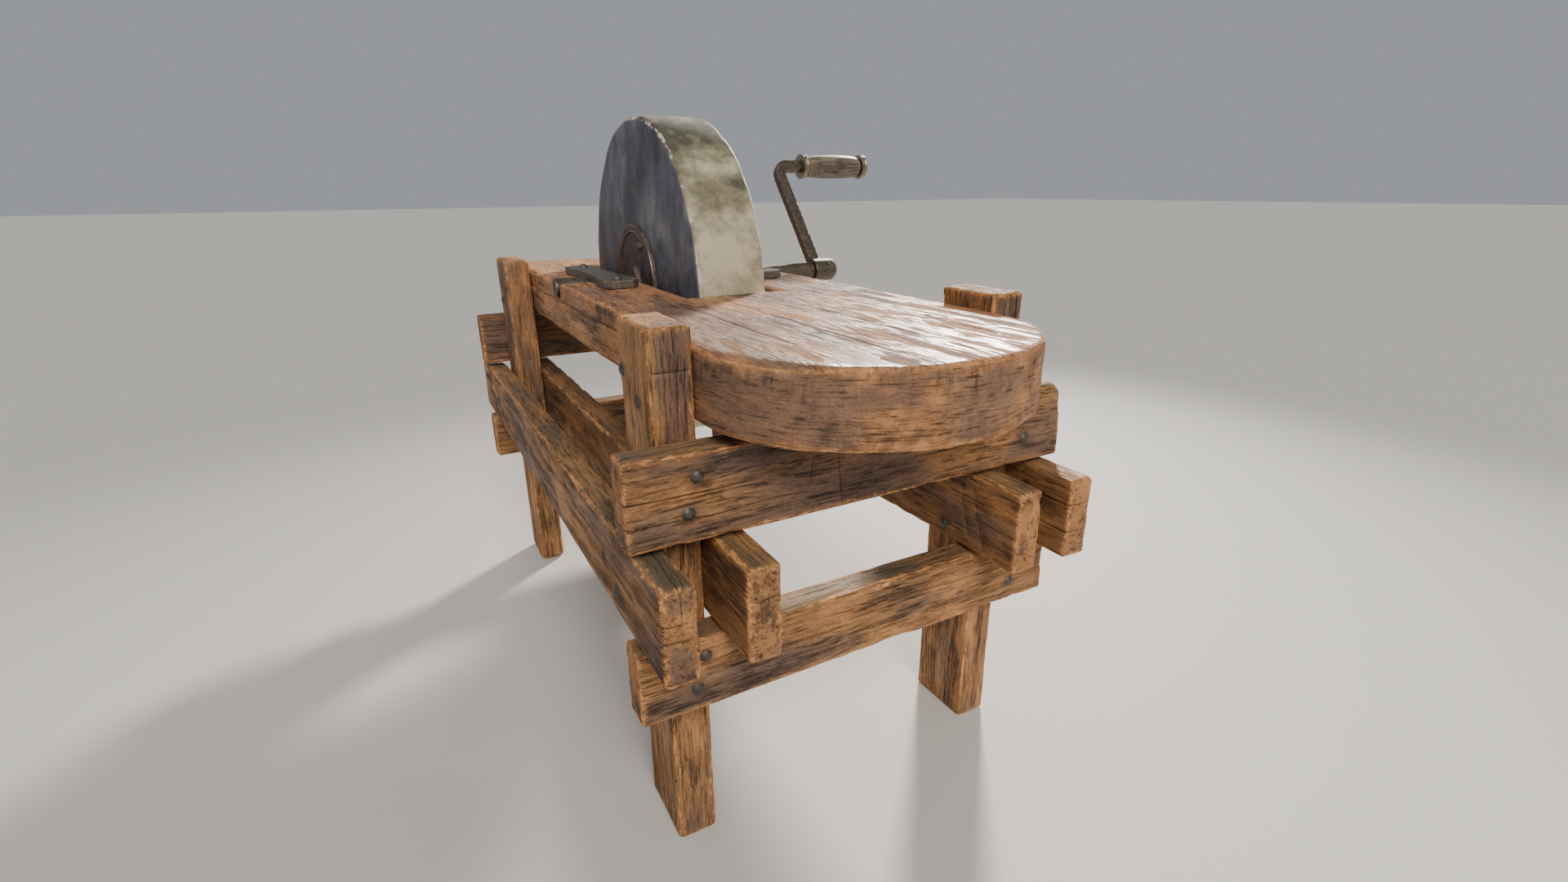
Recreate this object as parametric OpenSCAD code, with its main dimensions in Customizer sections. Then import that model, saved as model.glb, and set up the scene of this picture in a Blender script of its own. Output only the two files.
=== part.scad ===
// Hand-cranked grindstone: a heavy stone wheel on an iron shaft, turning in two strapped bearings on
// a nailed timber bench. The shaft runs along X with the crank at its +X end, the bench runs along Y
// with its bowed end towards -Y, and the legs stand on z = 0.

/* [Bench top] */
// Width of the bench top between the legs
top_w = 440; // [400:10:480]
// Thickness of the bench top
top_t = 90; // [70:2:100]
// Height of the bench top's upper face
top_z = 676; // [670:1:690]
// From the bench's middle to its square back end
top_back = 636; // [600:1:700]
// From the bench's middle to the tip of its bowed front end
top_front = 715; // [680:1:760]
// How far the bowed end stands out
bow_d = 205; // [100:1:205]

/* [Legs] */
// Height of the legs
leg_h = 700; // [695:1:760]
// Thickness of a leg along the shaft
leg_t = 54; // [50:1:70]
// Depth of a leg along the bench
leg_d = 110; // [100:1:130]
// From the bench's middle to a leg's middle
leg_y = 450; // [420:1:480]

/* [Rails] */
// Length of the cross rails
cross_l = 650; // [640:2:700]
// Thickness of the cross rails
cross_t = 45; // [35:1:55]
// Height of a lower cross rail's section
lower_h = 98; // [90:1:105]
// Height of an upper cross rail's section
upper_h = 108; // [90:1:110]
// Underside of the upper cross rails
upper_z = 464; // [460:1:470]
// Underside of the lower cross rails
lower_z = 240; // [200:1:240]
// Length of the side rails
side_l = 1250; // [1180:10:1300]
// Thickness of the side rails
side_t = 43; // [35:1:50]
// Height of a side rail's section
side_h = 119; // [100:1:125]
// Underside of the side rails
side_z = 338; // [338:1:340]
// Size of the worn corners along every timber
corner = 6; // [2:1:10]

/* [Stone] */
// Diameter of the stone
stone_d = 596; // [500:2:600]
// Thickness of the stone
stone_w = 128; // [100:2:128]
// From the bench's middle back to the shaft
stone_y = 152; // [120:1:160]
// Height of the shaft's axis
axis_z = 667; // [664:1:668]
// Room between the stone's side and the slot
slot_side = 20; // [18:1:24]
// Room between the stone's rim and the ends of the slot
slot_end = 8; // [6:1:20]

/* [Shaft and bearings] */
// Diameter of the shaft
shaft_d = 34; // [32:1:36]
// Diameter of the journals
journal_d = 28; // [24:1:28]
// From the stone's middle plane to the middle of each bearing
bearing_x = 141; // [138:1:150]
// Width of the bearing saddles
saddle_w = 60; // [50:1:60]
// Length of a bearing strap
strap_l = 304; // [280:2:320]
// Thickness of a bearing strap
strap_t = 14; // [12:1:18]

/* [Flanges] */
// Diameter of the flanges that clamp the stone
flange_d = 216; // [180:2:240]
// Diameter of the circle that the clamp bolts stand on
clamp_circle_d = 160; // [140:2:160]
// Number of clamp bolts
clamp_count = 3; // [3:1:6]

/* [Crank] */
// From the shaft's axis to the grip's axis
throw = 283; // [240:1:300]
// Angle at which the crank rests, back from upright
lean = 40; // [0:5:60]
// Width of the crank's bar along the shaft
bar_w = 26; // [22:1:30]
// Thickness of the crank's bar
bar_t = 18; // [16:1:20]
// Length of the grip
grip_l = 147; // [110:1:160]
// Largest diameter of the grip
grip_d = 54; // [46:1:56]

/* [Hidden] */
$fn = 64;

// Clearances
fit = 0.05;        // round parts that turn in, or pass through, a drilled hole
seat = 0.1;        // parts let into a timber
past = 1;          // how far a cutting shape runs past the face it cuts

// Timber frame
leg_x = (top_w + leg_t) / 2;
leg_out_x = top_w / 2 + leg_t;
leg_out_y = leg_y + leg_d / 2;
outer_x = leg_out_x + side_t / 2;
inner_x = top_w / 2 - side_t / 2;
cross_y = leg_out_y + cross_t / 2;
bow_steps = 16;

// Stone and slot
stone_r = stone_d / 2;
slot_w = stone_w + 2 * slot_side;
slot_l = stone_d + 2 * slot_end;
eye_r = 26;
stone_corner = 3;

// Shaft, saddles and straps
shaft_r = shaft_d / 2;
journal_r = journal_d / 2;
journal_l = saddle_w + 4;
shaft_left_x = -top_w / 2 - 6;
groove_r = shaft_r + 2;
saddle_r = journal_r + 8;
strap_lobe_w = 62;
strap_waist_w = 46;
strap_bolt_y = strap_l / 2 - 37;
strap_bolt_r = 5;
strap_washer_r = 14;
strap_washer_t = 3;
strap_nut_h = 9;

// Flanges and clamp bolts, measured outwards from the stone's side
plate_t = 6;
rim_t = 9;
rim_w = 14;
boss_t = 15;
boss_r = 30;
clamp_r = 6;
clamp_nut_h = 8;
clamp_start = 29;    // the first bolt's angle forward of upright
pin_r = 2.5;

// Crank
hub_x = leg_out_x + side_t + 8;
hub_l = 48;
hub_r = 24;
tang_r = 13;
crank_pin_r = 4;
crank_nut_r = 19;
crank_nut_t = 8;
arm_x = hub_x + bar_w / 2;
bend_r = 30;
collar_x = arm_x + bend_r + 32;
collar_t = 14;
collar_r = 28;
end_play = 0.5;
grip_x = collar_x + collar_t + end_play;
grip_end_r = 22;
spindle_r = 9;
cap_x = grip_x + grip_l + end_play;
cap_t = 15;
head_h = 6;
crank_end_x = cap_x + cap_t + head_h;

// Nails
nail_r = 3;
nail_l = leg_t + side_t - 5;    // ends just inside the timber that the nail is driven into
nail_head_r = 8;
nail_head_h = 4;

// The bench's middle, placed so that the origin is under the middle of the whole object
bench_x = -(crank_end_x - cross_l / 2) / 2;
bench_y = (top_front - top_back) / 2;

wood_dark = "#5b4433";
wood_mid = "#7a583c";
wood_top = "#8a6548";
iron_dark = "#3e3a37";
iron_rust = "#5a4638";
iron_grey = "#6a655e";
stone_grey = "#7d7d70";
grip_brown = "#6f6350";

// ---- Placing -------------------------------------------------------------------------------

module at_bench() translate([bench_x, bench_y, 0]) children();

// Children are drawn along the shaft: their +Z points along the shaft, to the crank's side
module on_shaft(x = 0) at_bench() translate([x, stone_y, axis_z]) rotate([0, 90, 0]) children();

// Children are drawn in the crank's own plane: +X along the shaft, +Z along the arm
module on_crank() at_bench() translate([0, stone_y, axis_z]) rotate([-lean, 0, 0]) children();

// ---- Shapes that repeat --------------------------------------------------------------------

// A straight timber with worn corners, its section w by h, running along +Z from z = 0
module timber(w, h, l) {
    a = w / 2;
    b = h / 2;
    c = corner;
    linear_extrude(l)
        polygon([[a, b - c], [a - c, b], [c - a, b], [-a, b - c],
                 [-a, c - b], [c - a, -b], [a - c, -b], [a, c - b]]);
}

// A low round head of radius r and height h, standing on z = 0
module dome(r, h) {
    ball_r = (r * r + h * h) / (2 * h);
    intersection() {
        translate([0, 0, h - ball_r]) sphere(ball_r);
        cylinder(r = r + past, h = h + past);
    }
}

module nail() {
    dome(nail_head_r, nail_head_h);
    translate([0, 0, -nail_l]) cylinder(r = nail_r, h = nail_l + past);
}

module nail_hole() translate([0, 0, -nail_l - past]) cylinder(r = nail_r + fit, h = nail_l + 2 * past);

module hex_nut(hole_r, h) difference() {
    rotate([0, 0, 30]) cylinder(r = hole_r * 1.9, h = h, $fn = 6);
    translate([0, 0, -past]) cylinder(r = hole_r + fit, h = h + 2 * past);
}

// ---- Nails ---------------------------------------------------------------------------------
// Each joint has two. A nail is [place of its head, turn of its head about Z from +X].

function way(s, base) = s > 0 ? base : base + 180;

function top_nails(sx, sy) = [
    [[sx * leg_out_x, sy * (leg_y - 38), top_z - 39], way(sx, 0)],
    [[sx * leg_out_x, sy * (leg_y + 12), top_z - 66], way(sx, 0)]
];
function outer_nails(sx, sy) = [
    [[sx * (leg_out_x + side_t), sy * (leg_y - 38), side_z + 63], way(sx, 0)],
    [[sx * (leg_out_x + side_t), sy * (leg_y + 12), side_z + 40], way(sx, 0)]
];
function inner_nails(sx, sy) = [
    [[sx * (top_w / 2 - side_t), sy * (leg_y - 18), side_z + 88], way(-sx, 0)],
    [[sx * (top_w / 2 - side_t), sy * (leg_y + 32), side_z + 22], way(-sx, 0)]
];
function cross_nails(sx, sy, z, h) = [
    for (k = [-1, 1]) [[sx * (leg_x - 6 * k), sy * (leg_out_y + cross_t), z + h / 2 + 4 + 21 * k], way(sy, 90)]
];

module drive(list) {
    for (n = list) translate(n[0]) rotate([0, 0, n[1]]) rotate([0, 90, 0]) children();
}

module nails(list) color(iron_dark) at_bench() drive(list) nail();

module nails_bench_top() for (sx = [-1, 1], sy = [-1, 1]) nails(top_nails(sx, sy));
module nails_outer_rails() for (sx = [-1, 1], sy = [-1, 1]) nails(outer_nails(sx, sy));
module nails_inner_rails() for (sx = [-1, 1], sy = [-1, 1]) nails(inner_nails(sx, sy));
module nails_cross_rails(z, h) for (sx = [-1, 1], sy = [-1, 1]) nails(cross_nails(sx, sy, z, h));

// ---- Timber frame --------------------------------------------------------------------------

module leg(sx, sy) {
    joints = concat(top_nails(sx, sy), outer_nails(sx, sy), inner_nails(sx, sy),
                    cross_nails(sx, sy, upper_z, upper_h), cross_nails(sx, sy, lower_z, lower_h));
    color(wood_mid) at_bench() difference() {
        translate([sx * leg_x, sy * leg_y, 0]) timber(leg_t, leg_d, leg_h);
        drive(joints) nail_hole();
    }
}

module cross_rail(sy, z, h) {
    color(wood_dark) at_bench() difference() {
        translate([-cross_l / 2, sy * cross_y, z + h / 2]) rotate([0, 90, 0])
            timber(h, cross_t, cross_l);
        for (sx = [-1, 1]) drive(cross_nails(sx, sy, z, h)) nail_hole();
    }
}

module side_rail(sx, x, joints) {
    color(wood_dark) at_bench() difference() {
        translate([sx * x, side_l / 2, side_z + side_h / 2]) rotate([90, 0, 0])
            timber(side_t, side_h, side_l);
        drive(joints) nail_hole();
    }
}

module outer_rail(sx) side_rail(sx, outer_x, concat(outer_nails(sx, -1), outer_nails(sx, 1)));
module inner_rail(sx) side_rail(sx, inner_x, concat(inner_nails(sx, -1), inner_nails(sx, 1)));

// A channel along the shaft with a round bottom and straight sides, open at the bench top
module shaft_channel(r, l) {
    cylinder(r = r, h = l);
    translate([-top_t, -r, 0]) cube([top_t, 2 * r, l]);
}

module bench_top() {
    bow_y = bow_d - top_front;
    bow = [for (i = [0:bow_steps]) let (a = 180 + 180 * i / bow_steps)
           [top_w / 2 * cos(a), bow_y + bow_d * sin(a)]];
    color(wood_top) difference() {
        at_bench() translate([0, 0, top_z - top_t]) linear_extrude(top_t)
            polygon(concat(bow, [[top_w / 2, top_back], [-top_w / 2, top_back]]));
        at_bench() translate([-slot_w / 2, stone_y - slot_l / 2, top_z - top_t - past])
            cube([slot_w, slot_l, top_t + 2 * past]);
        for (s = [-1, 1]) {
            on_shaft(s > 0 ? slot_w / 2 - past : -top_w / 2 - past)
                shaft_channel(groove_r, (top_w - slot_w) / 2 + 2 * past);
            on_shaft(s * bearing_x - saddle_w / 2 - seat)
                shaft_channel(saddle_r + seat, saddle_w + 2 * seat);
        }
        strap_bolt_places() translate([0, 0, -top_t - past])
            cylinder(r = strap_bolt_r + fit, h = top_t + 2 * past);
        at_bench() for (sx = [-1, 1], sy = [-1, 1]) drive(top_nails(sx, sy)) nail_hole();
    }
}

// ---- Bearings ------------------------------------------------------------------------------

// Children are drawn where each strap bolt meets the bench top, +Z up
module strap_bolt_places() {
    for (sx = [-1, 1], sy = [-1, 1])
        at_bench() translate([sx * bearing_x, stone_y + sy * strap_bolt_y, top_z]) children();
}

module bearing_saddle(s) {
    depth = top_z - axis_z;
    color(iron_dark) on_shaft(s * bearing_x - saddle_w / 2) difference() {
        union() {
            cylinder(r = saddle_r, h = saddle_w);
            translate([-depth, -saddle_r, 0]) cube([depth, 2 * saddle_r, saddle_w]);
        }
        translate([0, 0, -past]) cylinder(r = journal_r + fit, h = saddle_w + 2 * past);
        translate([-top_t, -journal_r - fit, -past])
            cube([top_t, 2 * (journal_r + fit), saddle_w + 2 * past]);
        translate([-saddle_r - depth - past, -saddle_r - past, -past])
            cube([saddle_r + past, 2 * (saddle_r + past), saddle_w + 2 * past]);
    }
}

module bearing_strap(s) {
    lobe = strap_lobe_w / 2;
    waist = strap_waist_w / 2;
    half = strap_l / 2;
    side = [[waist, 0], [waist, half - 82], [lobe, half - 60], [lobe, half - 12], [lobe - 12, half]];
    quarter_left = [for (i = [len(side) - 1:-1:1]) [-side[i][0], side[i][1]]];
    quarter_under = [for (p = side) -p];
    quarter_right = [for (i = [len(side) - 1:-1:1]) [side[i][0], -side[i][1]]];
    color(iron_dark) difference() {
        at_bench() translate([s * bearing_x, stone_y, top_z]) linear_extrude(strap_t)
            polygon(concat(side, quarter_left, quarter_under, quarter_right));
        on_shaft(s * bearing_x - strap_lobe_w) cylinder(r = journal_r + fit, h = 2 * strap_lobe_w);
        strap_bolt_places() translate([0, 0, -past])
            cylinder(r = strap_bolt_r + fit, h = strap_t + 2 * past);
    }
}

module strap_bolts() {
    shank = strap_t + top_t + strap_washer_t + strap_nut_h + 4;
    color(iron_grey) strap_bolt_places() {
        translate([0, 0, strap_t]) dome(10, 6);
        translate([0, 0, strap_t - shank]) cylinder(r = strap_bolt_r, h = shank + past);
    }
}

module strap_washers() {
    color(iron_grey) strap_bolt_places() translate([0, 0, -top_t - strap_washer_t]) difference() {
        cylinder(r = strap_washer_r, h = strap_washer_t);
        translate([0, 0, -past]) cylinder(r = strap_bolt_r + fit, h = strap_washer_t + 2 * past);
    }
}

module strap_nuts() {
    color(iron_grey) strap_bolt_places()
        translate([0, 0, -top_t - strap_washer_t - strap_nut_h]) hex_nut(strap_bolt_r, strap_nut_h);
}

// ---- Shaft and stone -----------------------------------------------------------------------

// Children are drawn at each clamp bolt, +Z along the shaft from the stone's middle plane
module clamp_places() {
    for (i = [0:clamp_count - 1])
        on_shaft() rotate([0, 0, clamp_start + 360 * i / clamp_count])
            translate([-clamp_circle_d / 2, 0, 0]) children();
}

// Children are drawn at each flange's cross pin, +Z along the pin from the shaft's axis
module flange_pin_places() {
    for (s = [-1, 1])
        on_shaft(s * (stone_w / 2 + (rim_t + boss_t) / 2)) rotate([0, 90, 0]) children();
}

module crank_pin_place() on_crank() translate([hub_x + hub_l * 0.7, 0, 0]) rotate([90, 0, 0]) children();

module shaft() {
    j0 = bearing_x - journal_l / 2;
    j1 = bearing_x + journal_l / 2;
    left = shaft_left_x;
    end = hub_x + hub_l + crank_nut_t + 3;
    bevel = 3;
    color(iron_grey) difference() {
        on_shaft() rotate_extrude() polygon([
            [0, left], [shaft_r - bevel, left], [shaft_r, left + bevel],
            [shaft_r, -j1], [journal_r, -j1], [journal_r, -j0], [shaft_r, -j0],
            [shaft_r, j0], [journal_r, j0], [journal_r, j1], [shaft_r, j1],
            [shaft_r, hub_x], [tang_r, hub_x], [tang_r, hub_x + hub_l],
            [spindle_r, hub_x + hub_l], [spindle_r, end - bevel], [spindle_r - bevel, end], [0, end]]);
        flange_pin_places() translate([0, 0, -shaft_d]) cylinder(r = pin_r + fit, h = 2 * shaft_d);
        crank_pin_place() translate([0, 0, -shaft_d]) cylinder(r = crank_pin_r + fit, h = 2 * shaft_d);
    }
}

module stone() {
    c = stone_corner;
    half = stone_w / 2;
    color(stone_grey) difference() {
        on_shaft() rotate_extrude() polygon([
            [eye_r, -half], [stone_r - c, -half], [stone_r, c - half],
            [stone_r, half - c], [stone_r - c, half], [eye_r, half]]);
        clamp_places() translate([0, 0, -half - past]) cylinder(r = clamp_r + 1, h = stone_w + 2 * past);
    }
}

module stone_packing() {
    color(wood_dark) on_shaft(-stone_w / 2) difference() {
        cylinder(r = eye_r - fit, h = stone_w);
        translate([0, 0, -past]) cylinder(r = shaft_r + fit, h = stone_w + 2 * past);
    }
}

module flange(s) {
    r = flange_d / 2;
    color(iron_rust) difference() {
        on_shaft() mirror([0, 0, s > 0 ? 0 : 1]) translate([0, 0, stone_w / 2]) rotate_extrude() polygon([
            [shaft_r + fit, 0], [r, 0], [r, rim_t - 2], [r - 2, rim_t], [r - rim_w, rim_t],
            [r - rim_w - 3, plate_t], [boss_r + 3, plate_t], [boss_r, rim_t], [boss_r, boss_t - 1],
            [boss_r - 1, boss_t], [shaft_r + fit, boss_t]]);
        clamp_places() translate([0, 0, -stone_w]) cylinder(r = clamp_r + fit, h = 2 * stone_w);
        flange_pin_places() translate([0, 0, -flange_d / 2]) cylinder(r = pin_r + fit, h = flange_d);
    }
}

module clamp_bolts() {
    seat_z = stone_w / 2 + plate_t;
    color(iron_grey) clamp_places() {
        mirror([0, 0, 1]) translate([0, 0, seat_z]) dome(9, 6);
        translate([0, 0, -seat_z - past]) cylinder(r = clamp_r, h = 2 * seat_z + past + clamp_nut_h + 2);
    }
}

module clamp_nuts() {
    color(iron_grey) clamp_places() translate([0, 0, stone_w / 2 + plate_t]) hex_nut(clamp_r, clamp_nut_h);
}

module flange_pins() {
    color(iron_grey) flange_pin_places() translate([0, 0, 1 - boss_r])
        cylinder(r = pin_r, h = 2 * (boss_r - 1));
}

// ---- Crank and grip ------------------------------------------------------------------------

module crank_arm() {
    color(iron_rust) difference() {
        on_crank() {
            translate([hub_x, 0, 0]) rotate([0, 90, 0]) cylinder(r = hub_r, h = hub_l);
            translate([hub_x, -bar_t / 2, tang_r + 3]) cube([bar_w, bar_t, throw - bend_r - tang_r - 3]);
            translate([arm_x + bend_r, 0, throw - bend_r]) rotate([90, 0, 0]) rotate([0, 0, 90])
                rotate_extrude(angle = 90) translate([bend_r - bar_w / 2, -bar_t / 2])
                    square([bar_w, bar_t]);
            translate([arm_x + bend_r, -bar_t / 2, throw - bar_w / 2])
                cube([collar_x - arm_x - bend_r, bar_t, bar_w]);
            translate([collar_x - past, 0, throw]) rotate([0, 90, 0])
                cylinder(r = spindle_r, h = cap_x + cap_t - collar_x + past);
            translate([cap_x + cap_t, 0, throw]) rotate([0, 90, 0]) dome(spindle_r + 4, head_h);
        }
        on_shaft(hub_x - past) cylinder(r = tang_r + fit, h = hub_l + 2 * past);
        crank_pin_place() translate([0, 0, -hub_r - past])
            cylinder(r = crank_pin_r + fit, h = 2 * (hub_r + past));
    }
}

module crank_pin() {
    color(iron_grey) crank_pin_place() translate([0, 0, 1 - hub_r])
        cylinder(r = crank_pin_r, h = 2 * (hub_r - 1));
}

module crank_nut() {
    r = crank_nut_r;
    color(iron_grey) on_shaft(hub_x + hub_l) rotate_extrude() polygon([
        [spindle_r + fit, 0], [r, 0], [r, crank_nut_t - 3],
        [r - 3, crank_nut_t], [spindle_r + fit, crank_nut_t]]);
}

// A round iron washer on the spindle, from x to x + t along the shaft
module spindle_washer(x, t) {
    r = collar_r;
    color(iron_rust) on_crank() translate([x, 0, throw]) rotate([0, 90, 0]) rotate_extrude() polygon([
        [spindle_r + fit, 0], [r - 2, 0], [r, 2], [r, t - 2], [r - 2, t], [spindle_r + fit, t]]);
}

module grip_collar() spindle_washer(collar_x, collar_t);
module grip_end_cap() spindle_washer(cap_x, cap_t);

module grip() {
    steps = 12;
    belly = [for (i = [0:steps]) let (u = i / steps)
             [grip_end_r + (grip_d / 2 - grip_end_r) * sin(180 * u), grip_l * u]];
    bore = spindle_r + fit;
    color(grip_brown) on_crank() translate([grip_x, 0, throw]) rotate([0, 90, 0]) rotate_extrude()
        polygon(concat([[bore, 0]], belly, [[bore, grip_l]]));
}

// ---- Nodes ---------------------------------------------------------------------------------

leg(-1, -1);  // leg_front_left
leg(1, -1);  // leg_front_right
leg(-1, 1);  // leg_back_left
leg(1, 1);  // leg_back_right
cross_rail(-1, lower_z, lower_h);  // lower_rail_front
cross_rail(1, lower_z, lower_h);  // lower_rail_back
cross_rail(-1, upper_z, upper_h);  // upper_rail_front
cross_rail(1, upper_z, upper_h);  // upper_rail_back
outer_rail(-1);  // side_rail_outer_left
inner_rail(-1);  // side_rail_inner_left
inner_rail(1);  // side_rail_inner_right
outer_rail(1);  // side_rail_outer_right
bench_top();
nails_bench_top();
nails_cross_rails(upper_z, upper_h);  // nails_upper_rails
nails_cross_rails(lower_z, lower_h);  // nails_lower_rails
nails_outer_rails();
nails_inner_rails();
bearing_saddle(-1);  // bearing_saddle_left
bearing_saddle(1);  // bearing_saddle_right
bearing_strap(-1);  // bearing_strap_left
bearing_strap(1);  // bearing_strap_right
strap_bolts();
strap_washers();
strap_nuts();
shaft();
stone();
stone_packing();
flange(-1);  // flange_left
flange(1);  // flange_right
clamp_bolts();
clamp_nuts();
flange_pins();
crank_arm();
crank_pin();
crank_nut();
grip_collar();
grip_end_cap();
grip();
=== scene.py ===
"""A hand-cranked grindstone on a nailed timber bench: the looks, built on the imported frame."""

from math import ceil, cos, pi, radians, sin

import bpy
import numpy as np
from mathutils import Matrix, Vector


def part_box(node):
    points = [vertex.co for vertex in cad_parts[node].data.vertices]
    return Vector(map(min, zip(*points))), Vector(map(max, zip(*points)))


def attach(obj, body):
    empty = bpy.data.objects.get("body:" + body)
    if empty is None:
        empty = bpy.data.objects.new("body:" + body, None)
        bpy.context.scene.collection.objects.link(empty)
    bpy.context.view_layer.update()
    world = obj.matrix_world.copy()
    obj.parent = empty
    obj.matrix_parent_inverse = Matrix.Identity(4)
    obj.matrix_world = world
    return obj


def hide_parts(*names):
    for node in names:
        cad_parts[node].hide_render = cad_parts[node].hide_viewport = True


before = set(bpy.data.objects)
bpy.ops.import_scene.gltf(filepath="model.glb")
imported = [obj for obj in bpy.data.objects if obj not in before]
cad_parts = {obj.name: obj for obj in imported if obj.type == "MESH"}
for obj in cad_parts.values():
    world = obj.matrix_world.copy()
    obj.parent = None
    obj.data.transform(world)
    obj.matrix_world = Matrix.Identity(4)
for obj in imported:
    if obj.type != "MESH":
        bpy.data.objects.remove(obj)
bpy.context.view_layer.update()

MM = 0.001
X, Y, Z = 0, 1, 2


# ---------------------------------------------------------------------------
# Noise, grids and surfaces
# ---------------------------------------------------------------------------


def scatter(seed, cells):
    """A fixed number from 0 to 1 for each row of three whole numbers."""
    mixed = (cells * np.array([73856093, 19349663, 83492791])).sum(1) + seed * 7919
    for shift, factor in ((13, 1274126177), (15, 1103515245)):
        mixed &= 0x7FFFFFFF
        mixed = (mixed ^ (mixed >> shift)) * factor
    return (mixed >> 12 & 0xFFFF) / 0xFFFF


def noise(points, size, seed, octaves=1):
    """Smooth noise from 0 to 1 with lumps of this size; each further octave is half as large."""
    total, weight = 0.0, 0.0
    for octave in range(octaves):
        strength = 0.5**octave
        place = points / (np.array(size) * strength) + 512
        cell = np.floor(place).astype(np.int64)
        t = place - cell
        t = t * t * (3 - 2 * t)
        for corner in np.ndindex(2, 2, 2):
            share = np.prod(np.where(corner, t, 1 - t), 1)
            total = total + strength * share * scatter(seed + octave, cell + corner)
        weight += strength
    return total / weight


def ramp(value, low, high):
    """0 below low, 1 above high, and smooth between."""
    t = np.clip((value - low) / (high - low), 0, 1)
    return t * t * (3 - 2 * t)


def block(lines, solid=None):
    """The corners and outward faces of a block cut by three lists of planes; solid says which cells exist."""
    shape = [len(places) for places in lines]
    if solid is None:
        solid = np.ones([n - 1 for n in shape], bool)
    number = np.arange(np.prod(shape)).reshape(shape)
    padded = np.pad(solid, 1)
    quads = []
    for axis in range(3):
        first, second = np.eye(3, dtype=int)[[(axis + 1) % 3, (axis + 2) % 3]]
        for side in (0, 1):
            beyond = np.roll(padded, 1 - 2 * side, axis)[1:-1, 1:-1, 1:-1]
            cells = np.argwhere(solid & ~beyond)
            cells[:, axis] += side
            corners = [0 * first, first, first + second, second]
            if side == 0:
                corners.reverse()
            quads.append(np.stack([number[tuple((cells + step).T)] for step in corners], 1))
    quads = np.concatenate(quads)
    used, faces = np.unique(quads, return_inverse=True)
    places = np.stack(np.unravel_index(used, shape), 1)
    points = np.stack([lines[i][places[:, i]] for i in range(3)], 1)
    return points, faces.reshape(quads.shape)


EDGE_STEPS = np.array([0, 1.5, 3, 5, 7.5, 10.5, 14]) * MM  # planes this far in from each end
LIP = 1.1 * MM  # from the line of a split to the planes beside it


def grid_lines(low, high, step, marks=()):
    """Planes from low to high, closer at the two ends, with a close set of three at each mark."""
    inner_low, inner_high = low + EDGE_STEPS[-1], high - EDGE_STEPS[-1]
    count = max(2, ceil((inner_high - inner_low) / step) + 1)
    even = np.linspace(inner_low, inner_high, count)
    for mark in marks:
        even = even[np.abs(even - mark) > 2.4 * LIP]
    near = [mark + offset for mark in marks for offset in (-LIP, 0, LIP)]
    return np.unique(np.concatenate([low + EDGE_STEPS, even, near, high - EDGE_STEPS]))


def settle(points, outside, rounds=5):
    """Moves points onto the surface where outside() is 0, and gives the direction it faces at each."""
    reach = 0.2 * MM
    for turn in range(rounds):
        slope = np.stack(
            [(outside(points + step) - outside(points - step)) / (2 * reach) for step in np.eye(3) * reach], 1
        )
        size = np.maximum((slope**2).sum(1)[:, None], 0.2)
        if turn < rounds - 1:
            points = points - outside(points)[:, None] * slope / size
    return points, slope / np.sqrt(size)


def round_corner(distances, radius):
    """How far each point is outside a rounded edge, given how far it is outside each surface there."""
    past = np.stack(distances, 1) + radius[:, None]
    return np.sqrt((np.maximum(past, 0) ** 2).sum(1)) + np.minimum(past.max(1), 0) - radius


# ---------------------------------------------------------------------------
# Pieces
# ---------------------------------------------------------------------------


def add_piece(name, points, faces, material, body, replaced, slot, **attributes):
    """Makes a smooth mesh in the frame's own place, keeps values at its points, and hands it to the frame."""
    mesh = bpy.data.meshes.new(name)
    mesh.from_pydata(points.tolist(), [], faces.tolist() if hasattr(faces, "tolist") else faces)
    for key, values in attributes.items():
        kind, field = ("FLOAT_VECTOR", "vector") if values.ndim == 2 else ("FLOAT", "value")
        layer = mesh.attributes.new(key, kind, "POINT")
        layer.data.foreach_set(field, np.ascontiguousarray(values, np.float32).ravel())
    mesh.shade_smooth()
    mesh.materials.append(material)
    obj = bpy.data.objects.new(name, mesh)
    bpy.context.scene.collection.objects.link(obj)
    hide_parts(*replaced)
    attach(obj, body)
    return obj


def dress(node, material):
    """Gives a CAD node, which keeps its shape, its own finish."""
    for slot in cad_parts[node].material_slots:
        slot.material = material


def box_of(node):
    low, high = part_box(node)
    return np.array(low), np.array(high)


# ---------------------------------------------------------------------------
# Materials
# ---------------------------------------------------------------------------


def scaled(values, share):
    """A colour made darker, or a scale made coarser, by this share."""
    return tuple(share * value for value in values)


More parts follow.
